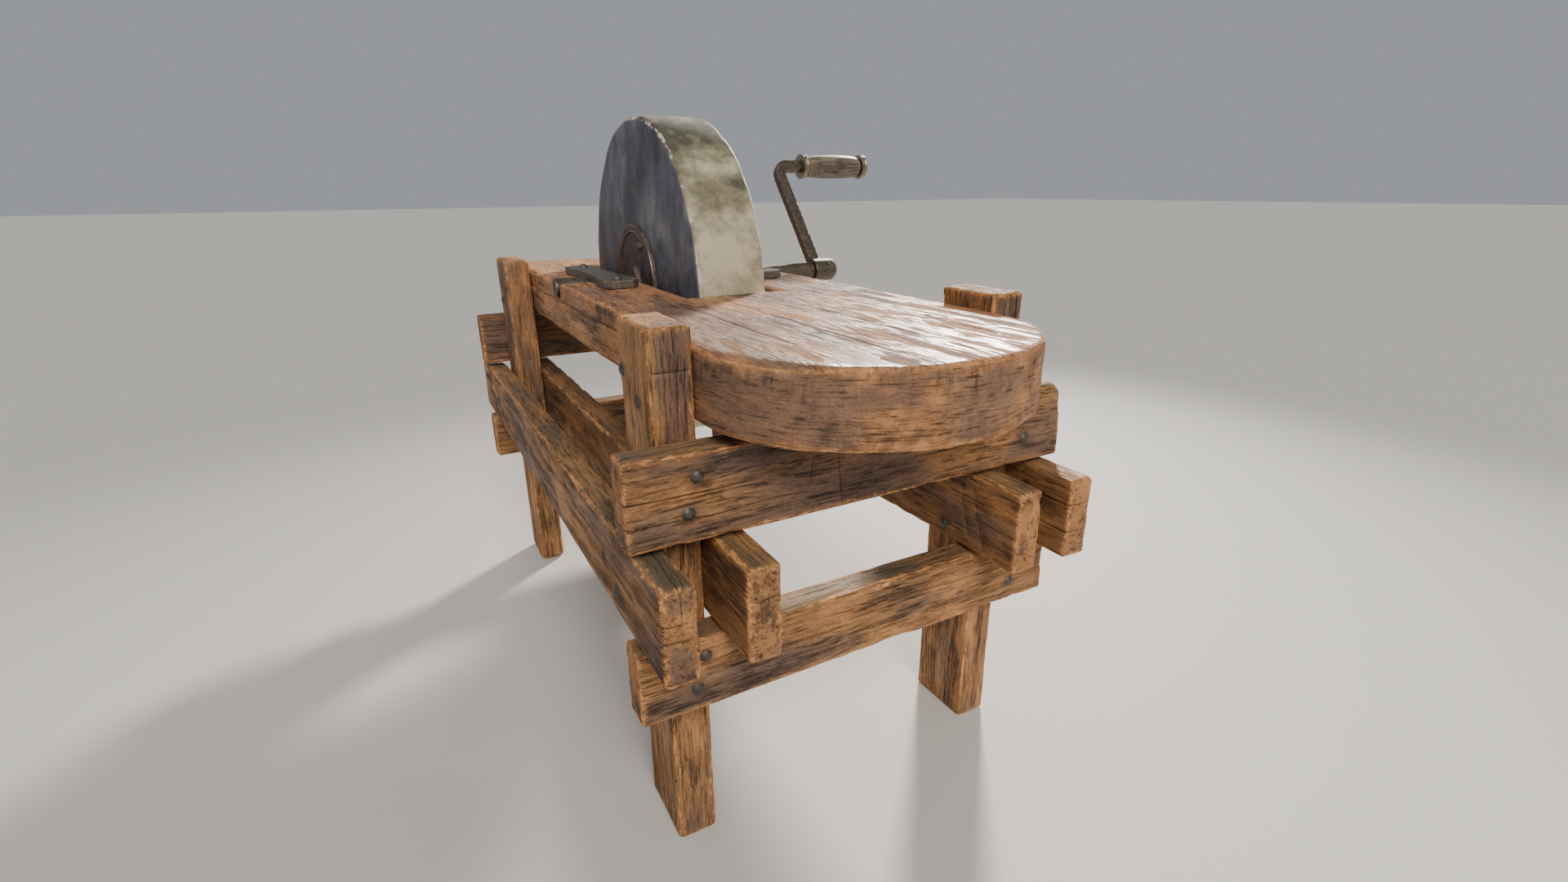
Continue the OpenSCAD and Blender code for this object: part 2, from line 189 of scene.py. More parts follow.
class Finish:
    """A Principled material, with short ways to add the nodes that drive it."""

    def __init__(self, name, **constants):
        self.material = bpy.data.materials.new(name)
        self.material.use_nodes = True
        self.tree = self.material.node_tree
        self.shader = self.tree.nodes["Principled BSDF"]
        for key, value in constants.items():
            self.shader.inputs[key.replace("_", " ")].default_value = value

    def feed(self, socket, value):
        """Links another node's output to the socket, or sets it to a plain value."""
        if isinstance(value, bpy.types.NodeSocket):
            self.tree.links.new(value, socket)
        else:
            socket.default_value = value

    def node(self, kind, inputs=(), **settings):
        made = self.tree.nodes.new("ShaderNode" + kind)
        for key, value in settings.items():
            setattr(made, key, value)
        for key, value in dict(inputs).items():
            self.feed(made.inputs[key], value)
        return made

    def place(self):
        return self.node("TexCoord").outputs["Object"]

    def value(self, name):
        return self.node("Attribute", attribute_name=name).outputs["Fac"]

    def vector(self, name):
        return self.node("Attribute", attribute_name=name).outputs["Vector"]

    def part(self, vector, letter):
        return self.node("SeparateXYZ", {0: vector}).outputs[letter]

    def noise(self, vector, scale, detail=4.0, roughness=0.6):
        """Noise from 0 to 1. A scale of three numbers draws its lumps out along the axes."""
        if isinstance(scale, tuple):
            vector = self.node("VectorMath", {0: vector, 1: scale}, operation="MULTIPLY").outputs[0]
            scale = 1.0
        inputs = {"Vector": vector, "Scale": scale, "Detail": detail, "Roughness": roughness}
        return self.node("TexNoise", inputs).outputs["Fac"]

    def wander(self, vector, scale, amount):
        """The vector, pushed about by slow noise so that lines wander."""
        pushed = self.node("TexNoise", {"Vector": vector, "Scale": scale, "Detail": 2.0}).outputs["Color"]
        centred = self.node("VectorMath", {0: pushed, 1: (0.5, 0.5, 0.5)}, operation="SUBTRACT").outputs[0]
        push = self.node("VectorMath", {0: centred, "Scale": amount}, operation="SCALE").outputs[0]
        return self.node("VectorMath", {0: vector, 1: push}, operation="ADD").outputs[0]

    def step(self, value, low, high, to_low=0.0, to_high=1.0):
        """Follows value smoothly from to_low, below low, to to_high, above high."""
        inputs = {"Value": value, "From Min": low, "From Max": high, "To Min": to_low, "To Max": to_high}
        return self.node("MapRange", inputs, interpolation_type="SMOOTHSTEP").outputs["Result"]

    def facing_up(self, low, high):
        """1 where the surface looks up, and 0 where it doesn't."""
        return self.step(self.part(self.node("NewGeometry").outputs["Normal"], "Z"), low, high)

    def maths(self, operation, first, second=0.0):
        return self.node("Math", {0: first, 1: second}, operation=operation).outputs[0]

    def times(self, first, second):
        return self.maths("MULTIPLY", first, second)

    def plus(self, first, second):
        return self.maths("ADD", first, second)

    def sway(self, value, by, amount):
        """The value, raised or lowered by noise about its middle."""
        return self.plus(value, self.times(self.maths("SUBTRACT", by, 0.5), amount))

    def blend(self, factor, first, second):
        """A number between two numbers."""
        return self.node("Mix", {0: factor, 2: first, 3: second}, data_type="FLOAT").outputs[0]

    def mix(self, factor, first, second, blend="MIX"):
        """A colour between two colours, each of them three numbers or a node's output."""
        made = self.node("Mix", {0: factor}, data_type="RGBA", blend_type=blend)
        for place, colour in ((6, first), (7, second)):
            self.feed(made.inputs[place], (*colour, 1) if isinstance(colour, tuple) else colour)
        return made.outputs[2]

    def shaded(self, colour, tone):
        """The colour, made darker or lighter by the tone."""
        grey = self.node("CombineColor", {0: tone, 1: tone, 2: tone}).outputs[0]
        return self.mix(1.0, colour, grey, "MULTIPLY")

    def colours(self, value, stops):
        made = self.node("ValToRGB", {"Fac": value})
        elements = made.color_ramp.elements
        while len(elements) < len(stops):
            elements.new(0.5)
        for element, (place, colour) in zip(elements, stops):
            element.position = place
            element.color = (*colour, 1)
        return made.outputs["Color"]

    def show(self, colour, roughness, height, depth, strength=1.0, metallic=None):
        """Links the finished colour, roughness, bump and metal to the shader."""
        links, inputs = self.tree.links, self.shader.inputs
        links.new(colour, inputs["Base Color"])
        links.new(roughness, inputs["Roughness"])
        bump = self.node("Bump", {"Height": height, "Distance": depth, "Strength": strength})
        links.new(bump.outputs["Normal"], inputs["Normal"])
        if metallic is not None:
            links.new(metallic, inputs["Metallic"])
        return self.material


AGED = (0.106, 0.081, 0.073)
KHAKI_BLOOM = (0.17, 0.145, 0.085)
SPLIT_BLACK = (0.010, 0.008, 0.006)
NAIL_STAIN = (0.030, 0.026, 0.025)


def wood(name, dark, middle, light, worn, end_scale, roughness, khaki=0.5, grime=0.6,
         end_colour=(0.46, 0.225, 0.09), shine=0.2, hatch=0.0, ageing=0.72, end_share=0.5,
         dash_share=0.32, on_cad=False):
    """Old timber: fine streaks and cracks along the grain, patchy grime, and bare wood where it is worn."""
    f = Finish(name, Specular_IOR_Level=shine)
    along = f.place() if on_cad else f.vector("grain")
    grain = f.wander(along, 7.0, 0.010)
    around = f.wander(f.vector("around"), 7.0, 0.010)
    end, wear = f.value("end"), f.value("wear")
    fine = f.blend(end, f.noise(grain, (20, 290, 290), 5.0, 0.62), f.noise(around, end_scale, 5.0, 0.65))
    broad = f.noise(grain, (3.5, 60, 60))
    patches = f.noise(grain, (7, 14, 14), 6.0, 0.66)
    blots = f.noise(grain, (9, 22, 22), 5.0)

    # The grain's own colours
    streaks = f.plus(f.times(fine, 0.5), f.times(broad, 0.5))
    colour = f.colours(streaks, ((0.34, dark), (0.49, middle), (0.66, light)))
    colour = f.mix(f.times(end, end_share), colour, end_colour)
    warm = tuple(0.35 * m + 0.65 * w for m, w in zip(middle, worn))
    colour = f.mix(f.step(blots, 0.48, 0.66, 0.0, 0.6), colour, warm)

    # Age and grime, which rubbed edges lose
    inside = f.step(wear, 0.1, 0.9, 1.0, 0.35)
    aged = f.step(f.noise(grain, (2.4, 7, 7), 5.0), 0.46, 0.58, 0.0, ageing)
    colour = f.mix(f.times(aged, inside), colour, AGED)
    smoke = f.sway(patches, streaks, -0.7)
    dirt = f.times(f.step(smoke, 0.50, 0.66, 0.0, grime), inside)
    colour = f.mix(dirt, colour, scaled(AGED, 0.30))
    upward = f.times(f.facing_up(0.5, 0.9), f.step(end, 0.2, 0.6, khaki, 0.1 * khaki))
    colour = f.mix(f.times(upward, f.step(patches, 0.3, 0.6)), colour, KHAKI_BLOOM)

    # Bare wood at the edges
    chafe = f.noise(along, (60, 130, 130), 5.0, 0.72)
    rubbed = f.sway(f.sway(wear, chafe, 3.6), patches, 1.8)
    bare = f.mix(f.step(fine, 0.36, 0.60), scaled(worn, 0.5), worn)
    colour = f.mix(f.step(rubbed, 0.80, 1.25, 0.0, 0.95), colour, bare)

    # Dark upright nicks in the upper part of the bench top's edge
    if hatch:
        nicks = f.step(f.noise(around, (125, 20, 1)), 0.47, 0.62, 0.0, hatch)
        up_the_edge = f.part(f.vector("around"), "Y")
        band = f.times(f.step(up_the_edge, -0.004, 0.024), f.step(wear, 0.7, 1.0, 1.0, 0.0))
        nicks = f.times(nicks, f.times(band, end))
        nicks = f.times(nicks, f.step(patches, 0.40, 0.60, 0.2, 1.0))
        colour = f.mix(nicks, colour, scaled(AGED, 0.25))

    # Speckle, dashes, cracks, splits and nail stains
    speckle = f.noise(along, (170, 420, 420), 3.0, 0.7)
    colour = f.shaded(colour, f.step(speckle, 0.30, 0.70, 0.80, 1.20))
    dashes = f.step(fine, 0.31, 0.43, 1.0, 0.0)
    colour = f.mix(f.times(dashes, dash_share), colour, scaled(AGED, 0.25))
    lines = f.blend(
        end, f.noise(grain, (7, 95, 95), 3.0, 0.55), f.noise(around, scaled(end_scale, 0.45), 3.0, 0.55)
    )
    off_line = f.maths("ABSOLUTE", f.maths("SUBTRACT", lines, 0.5))
    somewhere = f.times(f.step(blots, 0.40, 0.56, 1.0, 0.12), f.step(end, 0.3, 0.7, 1.0, 0.45))
    crack = f.times(f.step(off_line, 0.003, 0.015, 1.0, 0.0), somewhere)
    colour = f.mix(f.times(crack, 0.7), colour, scaled(AGED, 0.12))
    colour = f.mix(f.times(f.value("split"), 0.85), colour, SPLIT_BLACK)
    colour = f.mix(f.times(f.value("stain"), 0.5), colour, NAIL_STAIN)

    low, high = roughness
    polish = f.step(f.sway(streaks, blots, 0.5), 0.46, 0.56)
    rough = f.blend(f.step(end, 0.3, 0.8, 0.0, 0.6), f.blend(polish, high, low), 0.85)
    height = f.plus(f.times(fine, 1.1), f.times(broad, 0.8))
    height = f.maths("SUBTRACT", height, f.times(f.maths("MAXIMUM", crack, dashes), 0.5))
    return f.show(colour, rough, height, 2.1 * MM)


def iron(name, dark, rust, scale, roughness=(0.42, 0.75), rust_from=0.5, bright=None):
    """Forged iron: dark scale, rust in patches, and where an edge is rubbed, bright metal if it is given."""
    f = Finish(name)
    place = f.place()
    patches = f.noise(place, scale, 6.0, 0.65)
    pits = f.noise(place, scale * 5, 3.0)
    rusty = f.step(patches, rust_from, rust_from + 0.16)
    colour = f.shaded(f.mix(rusty, dark, rust), f.step(pits, 0.35, 0.7, 0.65, 1.25))
    metal = f.step(rusty, 0.0, 1.0, 0.85, 0.25)
    rough = f.step(f.plus(patches, f.times(pits, 0.4)), 0.5, 0.95, *roughness)
    if bright:
        rubbed = f.step(f.sway(f.value("wear"), patches, 1.5), 0.45, 0.9)
        colour = f.mix(rubbed, colour, bright)
        metal = f.blend(rubbed, metal, 0.9)
        rough = f.blend(rubbed, rough, 0.36)
    return f.show(colour, rough, f.plus(patches, f.times(pits, 0.35)), 0.9 * MM, 0.7, metal)


def sandstone(name):
    """Grit stone: mottled slate-grey sides with upright brushed marks, a khaki rim, and pale broken edges."""
    f = Finish(name)
    place = f.place()
    clouds = f.noise(place, 8.5, 6.0, 0.58)
    streaks = f.noise(f.wander(place, 9.0, 0.05), (26, 20, 8), 6.0, 0.62)
    grit = f.noise(place, 420.0, 3.0, 0.7)
    marks = f.noise(f.wander(place, 20.0, 0.02), 38.0, 5.0, 0.66)

    slate = ((0.38, (0.034, 0.035, 0.050)), (0.5, (0.100, 0.102, 0.132)), (0.61, (0.225, 0.222, 0.240)))
    side = f.colours(f.plus(f.times(clouds, 0.6), f.times(streaks, 0.4)), slate)
    khaki = ((0.39, (0.078, 0.073, 0.050)), (0.48, (0.235, 0.212, 0.134)), (0.60, (0.54, 0.49, 0.35)))
    darker_up = f.step(f.part(place, "Z"), 0.70, 0.92, 0.07, -0.07)
    rim = f.colours(f.plus(f.plus(f.times(clouds, 0.7), f.times(marks, 0.3)), darker_up), khaki)
    on_rim = f.step(f.sway(f.value("rim"), marks, 0.8), 0.3, 0.75)
    colour = f.mix(on_rim, side, rim)
    specks = f.step(f.noise(place, 95.0, 2.0, 0.5), 0.70, 0.76, 0.0, 0.5)
    colour = f.mix(specks, colour, (0.38, 0.38, 0.36))
    chipped = f.sway(f.value("chip"), f.noise(place, 24.0, 5.0, 0.7), 2.4)
    colour = f.mix(f.step(chipped, 0.5, 0.8, 0.0, 0.85), colour, (0.70, 0.67, 0.58))
    colour = f.shaded(colour, f.step(grit, 0.25, 0.75, 0.8, 1.15))
    rough = f.step(clouds, 0.3, 0.7, 0.52, 0.78)
    return f.show(colour, rough, f.plus(f.times(grit, 0.35), marks), 1.3 * MM, 0.8)


frame_wood = wood(
    "weathered_wood", (0.145, 0.076, 0.038), (0.29, 0.146, 0.064), (0.43, 0.23, 0.100), (0.76, 0.36, 0.135),
    end_scale=(330, 190, 190), roughness=(0.55, 0.90),
)
top_wood = wood(
    "bench_top_wood", (0.20, 0.100, 0.051), (0.42, 0.200, 0.090), (0.60, 0.31, 0.140), (0.80, 0.37, 0.13),
    end_scale=(26, 290, 1), roughness=(0.22, 0.95), khaki=0.0, grime=0.56, end_colour=(0.36, 0.150, 0.042),
    shine=0.46, hatch=0.8, ageing=0.62, end_share=0.34, dash_share=0.55,
)
grip_finish = wood(
    "grip_wood", (0.090, 0.070, 0.048), (0.25, 0.20, 0.135), (0.44, 0.36, 0.25), (0.52, 0.42, 0.28),
    end_scale=(120, 120, 120), roughness=(0.26, 0.5), khaki=0.0, grime=0.7, end_colour=(0.20, 0.155, 0.095),
)
packing_finish = wood(
    "packing_wood", (0.10, 0.065, 0.045), (0.24, 0.16, 0.10), (0.38, 0.26, 0.16), (0.4, 0.25, 0.13),
    end_scale=(120, 120, 120), roughness=(0.6, 0.8), khaki=0.0, on_cad=True,
)
stone_finish = sandstone("grit_stone")
strap_iron = iron(
    "forged_iron", (0.215, 0.192, 0.172), (0.215, 0.150, 0.108), 60.0, (0.42, 0.75), 0.5, (0.46, 0.43, 0.39)
)
flange_iron = iron(
    "rusty_iron", (0.105, 0.092, 0.097), (0.135, 0.092, 0.080), 30.0, (0.55, 0.85), 0.42, (0.22, 0.17, 0.15)
)
crank_finish = iron(
    "crank_iron", (0.118, 0.098, 0.074), (0.112, 0.064, 0.042), 42.0, (0.42, 0.66), 0.5, (0.27, 0.235, 0.175)
)
shaft_finish = iron(
    "shaft_steel", (0.105, 0.092, 0.074), (0.10, 0.068, 0.046), 50.0, (0.5, 0.75), 0.46, (0.19, 0.175, 0.155)
)
nail_finish = iron("nail_iron", (0.115, 0.108, 0.095), (0.095, 0.072, 0.054), 210.0, (0.4, 0.7), 0.52)
fastener_finish = iron("fastener_iron", (0.19, 0.18, 0.16), (0.13, 0.095, 0.070), 160.0, (0.34, 0.6), 0.55)
saddle_finish = iron("saddle_iron", (0.040, 0.036, 0.034), (0.075, 0.048, 0.034), 60.0)


# ---------------------------------------------------------------------------
# Timbers
# ---------------------------------------------------------------------------


def nail_heads(node, along):
    """The middle of each nail's head. The nails of a node lie along one axis, in mirrored pairs."""
    between_nails, shank_r = 20 * MM, 6 * MM
    left = np.array([v.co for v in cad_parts[node].data.vertices])
    flat = [axis for axis in range(3) if axis != along]
    heads = []
    while len(left):
        gap = left[:, flat] - left[0, flat]
        mine = ((gap**2).sum(1) < between_nails**2) & (left[:, along] * left[0, along] > 0)
        nail, left = left[mine], left[~mine]
        middle = (nail[:, flat].min(0) + nail[:, flat].max(0)) / 2
        rim = nail[((nail[:, flat] - middle) ** 2).sum(1) > shank_r**2]
        heads.append(rim.mean(0))
    return np.array(heads)


NAIL_NODES = {
    "nails_bench_top": X, "nails_outer_rails": X, "nails_inner_rails": X,
    "nails_upper_rails": Y, "nails_lower_rails": Y,
}
NAILS = np.concatenate([nail_heads(node, along) for node, along in NAIL_NODES.items()])


def from_nails(points):
    """How far each point is from the nearest nail head."""
    nearest = np.full(len(points), 1.0)
    for head in NAILS:
        nearest = np.minimum(nearest, np.sqrt(((points - head) ** 2).sum(1)))
    return nearest


class Groove:
    """A narrow split or saw cut in one face: where its line lies across the face, and the stretch it runs."""

    def __init__(self, out, side, across, place, start, end, depth, slant=0.0, wander=5 * MM, seed=0):
        self.out, self.side, self.across, self.run = out, side, across, 3 - out - across
        self.place, self.start, self.end, self.depth = place, start, end, depth
        self.slant, self.wander, self.seed = slant, wander, seed

    def cut(self, lattice, half):
        """The sideways shift of each point on the face, and how deep each point on the line is cut."""
        along = lattice[:, self.run]
        face = np.isclose(lattice[:, self.out], self.side * half[self.out])
        line = np.isclose(lattice[:, self.across], self.place)
        track = np.stack([along, 0 * along, 0 * along], 1)
        bend = self.wander * (2 * noise(track, 0.11, self.seed, 3) - 1) + self.slant * (along - self.start)
        gap = lattice[:, self.across] - self.place
        shift = np.where(face, bend * np.exp(-((gap / (9 * MM)) ** 2)), 0)
        with_grain = self.across != X
        fade = 25 * MM if with_grain else 4 * MM
        taper = ramp(along, self.start, self.start + fade) * ramp(-along, -self.end, -self.end + fade)
        uneven = 0.55 + 0.6 * noise(track, 0.02, self.seed + 7)
        depth = np.where(face & line, self.depth * taper * uneven, 0)
        for end, runs_out in ((-1, self.start < -half[X]), (1, self.end > half[X])):
            if with_grain and runs_out:
                inward = half[self.out] - self.side * lattice[:, self.out]
                on_end = np.isclose(lattice[:, X], end * half[X]) & line
                depth = np.where(on_end, self.depth * 1.3 * np.exp(-inward / (16 * MM)), depth)
        return shift, depth


def random_splits(rng, half, wide_count, narrow_count):
    """Splits along the grain, most of them in the two wide faces, some running out at an end."""
    wide = 1 if half[1] < half[2] else 2
    splits = []
    for out, count in ((wide, wide_count), (3 - wide, narrow_count)):
        across = 3 - out
        room = half[across] - 20 * MM if half[across] > 30 * MM else 4 * MM
        places = np.linspace(-room, room, count + 2)[1:-1] if count > 1 else [0.0]
        for i, place in enumerate(places):
            length = rng.uniform(0.35, 1.1) * half[X]
            start = rng.choice([-half[X] - 0.05, half[X] + 0.05 - length, rng.uniform(-0.8, 0.2) * half[X]])
            side = 1 if (i + rng.integers(2)) % 2 else -1
            place = place + rng.uniform(-1, 1) * min(3 * MM, room / 3)
            depth = rng.uniform(2.2, 5.0) * MM
            seed = int(rng.integers(1000))
            splits.append(Groove(out, side, across, place, start, start + length, depth, seed=seed))
    return splits


def weathered(lattice, points, normals, half, grooves, seed, world, to_edge, chips=1.0):
    """How deep each point has worn, with the values that the timber's finish reads."""
    local = points + np.array([0.0, 3.1, 1.7]) * seed
    edge = ramp(-to_edge, -15 * MM, 0)
    end = normals[:, X] ** 2

    # Ridges along the grain, finer ones, slow hollows and rough ends, less the mean, so that the size stays
    depth = 1.3 * MM * noise(local, (0.30, 0.018, 0.018), seed, 2)
    depth += 0.7 * MM * noise(local, (0.08, 0.006, 0.006), seed + 1)
    depth += 1.6 * MM * noise(local, (0.20, 0.06, 0.06), seed + 2)
    depth += end * MM * noise(local, 6 * MM, seed + 3)
    depth = np.maximum(depth - 1.2 * MM, 0)

    broken = ramp(noise(local, (0.045, 0.02, 0.02), seed + 4, 2), 0.60, 0.74)
    depth += chips * 2.2 * MM * broken * ramp(-to_edge, -9 * MM, -2 * MM)
    split = np.zeros(len(points))
    for groove in grooves:
        _, cut = groove.cut(lattice, half)
        depth += cut
        split = np.maximum(split, np.clip(cut / (1.2 * MM), 0, 1))

    # The wood under a nail's head stays flat, and iron stains it
    near = from_nails(world)
    depth *= ramp(near, 6 * MM, 20 * MM)
    spread = 1 + 0.5 * noise(local, (0.03, 0.01, 0.01), seed + 5)
    stain = ramp(-near, -15 * MM * spread, -7 * MM)
    return depth, {"grain": local, "around": local, "end": end, "wear": edge, "split": split, "stain": stain}


def timber(node, grain, seed, radius=8 * MM, splits=(3, 1), cuts=(), soft=()):
    """A straight timber: rounded unevenly by wear, split along the grain, and rough at its ends."""
    low, high = box_of(node)
    order = [(grain + i) % 3 for i in range(3)]
    centre, half = (low + high) / 2, ((high - low) / 2)[order]
    rng = np.random.default_rng(seed)
    grooves = random_splits(rng, half, *splits) + list(cuts)
    marks = [[g.place for g in grooves if g.across == axis] for axis in range(3)]
    steps = (11 * MM, 3.6 * MM, 3.6 * MM)
    lattice, faces = block([grid_lines(-half[i], half[i], steps[i], marks[i]) for i in range(3)])
    points = lattice.copy()
    for groove in grooves:
        shift, _ = groove.cut(lattice, half)
        points[:, groove.across] += shift

    worn = radius * (0.60 + 0.7 * noise(points + 5.3 * seed, (0.13, 0.05, 0.05), seed + 9, 2))
    for corner, reach, extra in soft:
        gap = np.sqrt(((points - np.array(corner) * half) ** 2).sum(1))
        worn = worn + extra * np.exp(-((gap / reach) ** 2))
    worn = np.minimum(worn, 0.9 * half.min())

    def outside(p):
        return round_corner(list((np.abs(p) - half).T), worn)

    points, normals = settle(points, outside)
    back = np.argsort(order)
    world = points[:, back] + centre
    to_edge = np.sort(half - np.abs(lattice), 1)[:, 1]
    depth, values = weathered(lattice, points, normals, half, grooves, seed, world, to_edge)
    standing = grain == Z
    if standing:
        depth *= ramp(points[:, X] + half[X], 0, 14 * MM)
    points = (points - normals * depth[:, None])[:, back] + centre
    add_piece("worn_" + node, points, faces, frame_wood, "frame", [node], "weathered_wood", **values)


# Saw marks: two across the front-left leg, two on the upper front rail, and a slanted pair on a side rail
leg_cuts = [
    Groove(Z, -1, X, 0.300, -0.024, 0.024, 1.6 * MM, wander=0.8 * MM, seed=3),
    Groove(Z, -1, X, 0.122, -0.026, 0.020, 1.2 * MM, slant=0.1, wander=0.8 * MM, seed=4),
]
rail_cuts = [
    Groove(Y, -1, X, -0.052, -0.050, 0.046, 1.2 * MM, slant=-0.1, wander=1.2 * MM, seed=5),
    Groove(Y, -1, X, -0.098, -0.012, 0.040, 1.0 * MM, slant=0.12, wander=1.2 * MM, seed=6),
]
side_cuts = [
    Groove(Z, -1, X, -0.565, -0.045, 0.050, 1.4 * MM, slant=0.35, wander=1 * MM, seed=7),
    Groove(Z, -1, X, -0.535, -0.040, 0.052, 1.2 * MM, slant=0.30, wander=1 * MM, seed=8),
]
timber("leg_front_left", Z, 11, 7 * MM, (3, 1), leg_cuts)
timber("leg_front_right", Z, 12, 7 * MM, (3, 1))
timber("leg_back_left", Z, 13, 14 * MM, (3, 0))
timber("leg_back_right", Z, 14, 7 * MM, (3, 1))
timber("lower_rail_front", X, 21, 5 * MM, (3, 1))
timber("lower_rail_back", X, 22, 5 * MM, (3, 1))
timber("upper_rail_front", X, 23, 5 * MM, (4, 1), rail_cuts, [((1, -1, 1), 0.05, 12 * MM)])
timber("upper_rail_back", X, 24, 5 * MM, (3, 1))
timber("side_rail_outer_left", Y, 31, 10 * MM, (3, 1))
timber("side_rail_inner_left", Y, 32, 6 * MM, (3, 1))
timber("side_rail_inner_right", Y, 33, 6 * MM, (3, 1), side_cuts)
timber("side_rail_outer_right", Y, 34, 6 * MM, (3, 1))


# ---------------------------------------------------------------------------
# Bench top
# ---------------------------------------------------------------------------

stone_low, stone_high = box_of("stone")
shaft_low, shaft_high = box_of("shaft")
AXIS = (stone_low + stone_high) / 2
STONE_R = (stone_high - stone_low)[Z] / 2
STONE_HALF = (stone_high - stone_low)[X] / 2

# The slab's own sizes, as in part.scad
BOW = 205 * MM  # how far the front bows out
SLOT_GAP = np.array([8, 20]) * MM  # around the stone, along the slab and across it
CHANNEL_R = 19 * MM  # the groove for the shaft

CORNER_R = 14 * MM  # the worn corners of the straight back end
FRONT_QUARTER = 0.334  # metres around the bowed front, from its middle to one side

TOP_SPLITS = [
    Groove(Y, 1, Z, -0.180, -0.30, 0.35, 3.4 * MM, seed=21),
    Groove(Y, 1, Z, -0.125, -0.53, -0.18, 2.8 * MM, seed=22),
    Groove(Y, 1, Z, -0.052, -0.60, -0.08, 3.2 * MM, seed=23),
    Groove(Y, 1, Z, 0.031, -0.52, -0.20, 2.4 * MM, seed=24),
    Groove(Y, 1, Z, 0.118, -0.60, -0.10, 3.6 * MM, seed=25),
    Groove(Y, 1, Z, 0.178, -0.15, 0.75, 3.0 * MM, seed=26),
    Groove(Z, -1, Y, 0.012, -0.35, 0.75, 3.4 * MM, seed=27),
    Groove(Z, -1, Y, -0.018, -0.50, -0.02, 2.4 * MM, seed=28),
    Groove(Z, 1, Y, 0.000, -0.45, 0.30, 3.0 * MM, seed=29),
]


def bench_top():
    """One thick slab with a bowed front, a slot and a channel for the shaft. Here x runs along it, y up."""
    low, high = box_of("bench_top")
    centre, half = (low + high) / 2, (high - low)[[Y, Z, X]] / 2
    bow_from = -half[X] + BOW
    slot_half = np.array([STONE_R, STONE_HALF]) + SLOT_GAP
    axis_x, axis_y = AXIS[Y] - centre[Y], AXIS[Z] - centre[Z]
    marks = [[g.place for g in TOP_SPLITS if g.across == axis] for axis in range(3)]
    slot_x = axis_x + slot_half[0] * np.array([-1, 1])
    channel_x = axis_x + CHANNEL_R * np.sin(np.radians(np.arange(-90, 91, 12)))
    lips = axis_x + np.outer([-1, 1], CHANNEL_R + np.array([0.3, 1.5, 3.5, 6.5]) * MM).ravel()
    xs = grid_lines(-half[X], half[X], 9 * MM)
    for place in (*slot_x, axis_x):
        xs = xs[np.abs(xs - place) > (4 * MM if place != axis_x else 26 * MM)]
    by_slot = [slot_x + d * MM for d in (-5, -3, -1.5, 0, 1.5, 3, 5)]
    xs = np.unique(np.concatenate([xs, channel_x, lips, *by_slot]))
    slot_z = slot_half[1] * np.array([-1, 1])
    zs = grid_lines(-half[Z], half[Z], 4.2 * MM, marks[Z])
    zs = zs[np.abs(np.abs(zs) - slot_half[1]) > 2 * MM]
    zs = np.unique(np.concatenate([zs] + [slot_z + d * MM for d in (-4, -1.8, 0, 1.8, 4)]))
    ys = grid_lines(-half[Y], half[Y], 4.4 * MM, marks[Y])
    middle = [(a[1:] + a[:-1]) / 2 for a in (xs, ys, zs)]
    open_x, open_z = np.abs(middle[X] - axis_x) < slot_half[0], np.abs(middle[Z]) < slot_half[1]
    solid = np.broadcast_to(~(open_x[:, None, None] & open_z), [len(a) for a in middle])
    lattice, faces = block([xs, ys, zs], solid)

    def outside(p):
        x, y, z = p.T
        past_bow = np.minimum(x - bow_from, 0)
        ring = np.sqrt((z / half[Z]) ** 2 + (past_bow / BOW) ** 2) + 1e-9
        steep = np.sqrt((z / half[Z] ** 2) ** 2 + (past_bow / BOW**2) ** 2) / ring
        sides = round_corner([x - half[X], np.abs(z) - half[Z]], np.full(len(p), CORNER_R))
        outline = np.where(past_bow < 0, (ring - 1) / np.maximum(steep, 1), sides)
        in_slot = np.maximum(np.abs(x - axis_x) - slot_half[0], np.abs(z) - slot_half[1])
        slab = round_corner([np.maximum(outline, -in_slot), np.abs(y) - half[Y]], worn)
        channel = np.hypot(x - axis_x, np.minimum(y - axis_y, 0)) - CHANNEL_R
        return np.maximum(slab, -channel)

    points = lattice.copy()
    for groove in TOP_SPLITS:
        shift, _ = groove.cut(lattice, half)
        points[:, groove.across] += shift
    front = np.minimum(points[:, X] - bow_from, 0)
    points[:, X] -= front * (1 - np.sqrt(1 - (0.9999 * points[:, Z] / half[Z]) ** 2))
    worn = 7 * MM * (0.45 + 1.2 * noise(points, (0.13, 0.05, 0.10), 91, 2))
    rubbed_corner = np.array([bow_from - 0.09, half[Y], -0.19])
    worn += 22 * MM * np.exp(-(((points - rubbed_corner) / (0.09, 0.05, 0.08)) ** 2).sum(1))

    # Under the channel, the lattice is pressed down to the channel's floor before it settles
    gap = points[:, X] - axis_x
    floor = axis_y - np.sqrt(np.maximum(CHANNEL_R**2 - gap**2, 0))
    height = (points[:, Y] + half[Y]) / (2 * half[Y])
    beside_slot = np.abs(points[:, Z]) >= slot_half[1] - 1e-6
    in_channel = (np.abs(gap) <= CHANNEL_R + 1e-6) & beside_slot
    points[:, Y] = np.where(in_channel, -half[Y] + height * (floor + half[Y]), points[:, Y])
    points, normals = settle(points, outside)
    world = points[:, [Z, X, Y]] + centre
    x, y, z = lattice.T
    to_slot = np.maximum(np.abs(x - axis_x) - slot_half[0], np.abs(z) - slot_half[1])
    to_side = np.minimum(np.minimum(half[X] - np.abs(x), half[Z] - np.abs(z)), to_slot)
    to_edge = np.maximum(to_side, half[Y] - np.abs(y))
    depth, values = weathered(lattice, points, normals, half, TOP_SPLITS, 3, world, to_edge, 1.2)
    depth *= np.where(in_channel, 0.3, 1.0)

